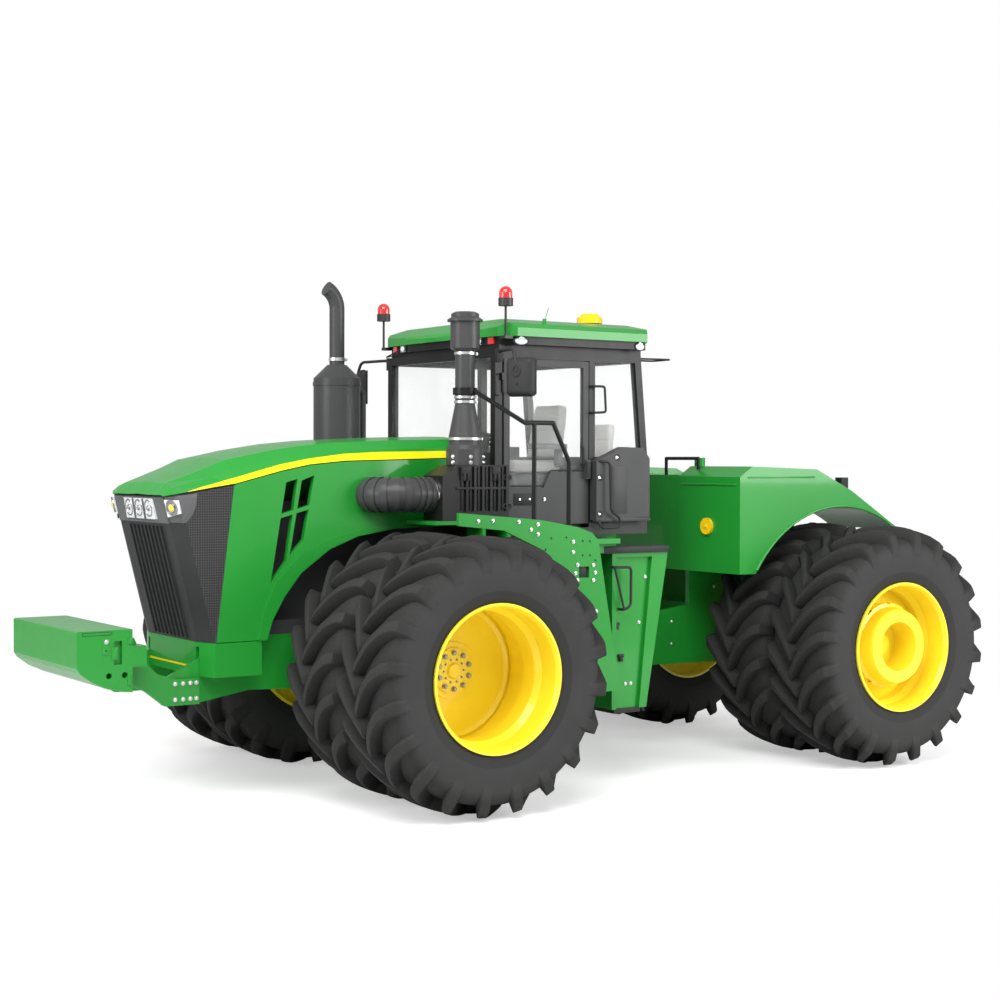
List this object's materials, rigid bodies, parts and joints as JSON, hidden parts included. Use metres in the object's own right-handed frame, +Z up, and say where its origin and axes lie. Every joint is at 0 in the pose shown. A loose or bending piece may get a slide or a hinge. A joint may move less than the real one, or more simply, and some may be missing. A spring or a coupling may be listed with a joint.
{
  "type": "articulated farm tractor",
  "caption": "Articulated four-wheel-drive farm tractor with a centre pivot, dual wheels, a glazed cab, a long sloping hood and a front weight.",
  "frame": {"origin": "on the ground under the middle of the bounding box", "axes": "+X forward, +Y to the left side, +Z up"},
  "size_m": [8.091, 4.3554, 4.1849],
  "materials": {
    "green_paint": "gloss",
    "yellow_paint": "gloss",
    "chassis_paint": "satin",
    "black_plastic": "satin",
    "tyre_rubber": "matte",
    "clear_glass": "gloss",
    "lamp_clear": "gloss",
    "beacon_red": "gloss",
    "seat_fabric": "matte",
    "rod_chrome": "polished",
    "interior_grey": "matte",
    "yellow_plastic": "gloss"
  },
  "bodies": {
    "front_unit": {"front_chassis": "green_paint", "front_axle": "green_paint", "engine_block": "chassis_paint", "cooling_pack": "black_plastic", "front_weight": "green_paint", "weight_bracket": "green_paint", "nose_skirt": "green_paint", "grille": "black_plastic", "headlamps": "lamp_clear", "hood_sides": "green_paint", "air_cleaner": "black_plastic", "intake_stack": "black_plastic", "intake_hose": "black_plastic", "exhaust_muffler": "black_plastic", "exhaust_pipe": "black_plastic", "cab_base": "black_plastic", "cab_posts": "black_plastic", "roof_tray": "black_plastic", "cab_roof": "green_paint", "roof_lamps": "lamp_clear", "beacons": "beacon_red", "roof_dome": "yellow_plastic", "cab_glass": "clear_glass", "operator_seat": "seat_fabric", "second_seat": "seat_fabric", "steering_column": "interior_grey", "console": "interior_grey", "mirrors": "black_plastic", "left_rail": "black_plastic", "left_walkway": "green_paint", "right_walkway": "green_paint", "ladder": "green_paint"},
    "hood_lid": {"hood_top": "green_paint"},
    "door": {"door_frame": "black_plastic", "door_glass": "clear_glass"},
    "yoke": {"hinge_yoke": "green_paint"},
    "left_barrel_body": {"left_barrel": "chassis_paint"},
    "right_barrel_body": {"right_barrel": "chassis_paint"},
    "left_rod_body": {"left_rod": "rod_chrome"},
    "right_rod_body": {"right_rod": "rod_chrome"},
    "rear_unit": {"rear_chassis": "green_paint", "rear_axle": "green_paint", "fuel_tanks": "green_paint", "tank_caps": "yellow_plastic", "rear_rail": "black_plastic", "rear_lamps": "black_plastic", "drawbar": "chassis_paint"},
    "wheel_front_left": {"tyres_front_left": "tyre_rubber", "rims_front_left": "yellow_paint"},
    "wheel_front_right": {"tyres_front_right": "tyre_rubber", "rims_front_right": "yellow_paint"},
    "wheel_rear_left": {"tyres_rear_left": "tyre_rubber", "rims_rear_left": "yellow_paint"},
    "wheel_rear_right": {"tyres_rear_right": "tyre_rubber", "rims_rear_right": "yellow_paint"}
  },
  "joints": [
    {"name": "steer", "type": "hinge", "parent": "front_unit", "child": "yoke", "pos_m": [-0.6955, 0, 1.03], "axis": [0, 0, 1], "range_deg": [-35, 35]},
    {"name": "oscillate", "type": "hinge", "parent": "yoke", "child": "rear_unit", "pos_m": [-1.2955, 0, 1.03], "axis": [1, 0, 0], "range_deg": [-10, 10]},
    {"name": "left_barrel_swing", "type": "hinge", "parent": "front_unit", "child": "left_barrel_body", "pos_m": [0.0045, 0.338, 1.03], "axis": [0, 0, 1], "range_deg": [-10.1, 10.1]},
    {"name": "right_barrel_swing", "type": "hinge", "parent": "front_unit", "child": "right_barrel_body", "pos_m": [0.0045, -0.338, 1.03], "axis": [0, 0, 1], "range_deg": [-10.1, 10.1]},
    {"name": "left_rod_slide", "type": "slide", "parent": "left_barrel_body", "child": "left_rod_body", "axis": [-1, 0, 0], "range_m": [-0.23, 0.23]},
    {"name": "right_rod_slide", "type": "slide", "parent": "right_barrel_body", "child": "right_rod_body", "axis": [-1, 0, 0], "range_m": [-0.23, 0.23]},
    {"name": "door_hinge", "type": "hinge", "parent": "front_unit", "child": "door", "pos_m": [0.5115, 0.872, 2.83], "axis": [0, 0, -1], "range_deg": [0, 70]},
    {"name": "hood_hinge", "type": "hinge", "parent": "front_unit", "child": "hood_lid", "pos_m": [0.7245, 0, 2.72], "axis": [0, -1, 0], "range_deg": [0, 40]},
    {"name": "wheel_front_left_spin", "type": "hinge", "parent": "front_unit", "child": "wheel_front_left", "pos_m": [1.3945, 1.025, 1.038], "axis": [0, 1, 0], "continuous": true},
    {"name": "wheel_front_right_spin", "type": "hinge", "parent": "front_unit", "child": "wheel_front_right", "pos_m": [1.3945, -1.025, 1.038], "axis": [0, 1, 0], "continuous": true},
    {"name": "wheel_rear_left_spin", "type": "hinge", "parent": "rear_unit", "child": "wheel_rear_left", "pos_m": [-2.7855, 1.025, 1.038], "axis": [0, 1, 0], "continuous": true},
    {"name": "wheel_rear_right_spin", "type": "hinge", "parent": "rear_unit", "child": "wheel_rear_right", "pos_m": [-2.7855, -1.025, 1.038], "axis": [0, 1, 0], "continuous": true}
  ],
  "couplings": [
    {"joint": "left_barrel_swing", "follows": "steer", "ratio": 0.265},
    {"joint": "right_barrel_swing", "follows": "steer", "ratio": 0.265},
    {"joint": "left_rod_slide", "follows": "steer", "m_per_rad": 0.336},
    {"joint": "right_rod_slide", "follows": "steer", "m_per_rad": -0.336}
  ]
}
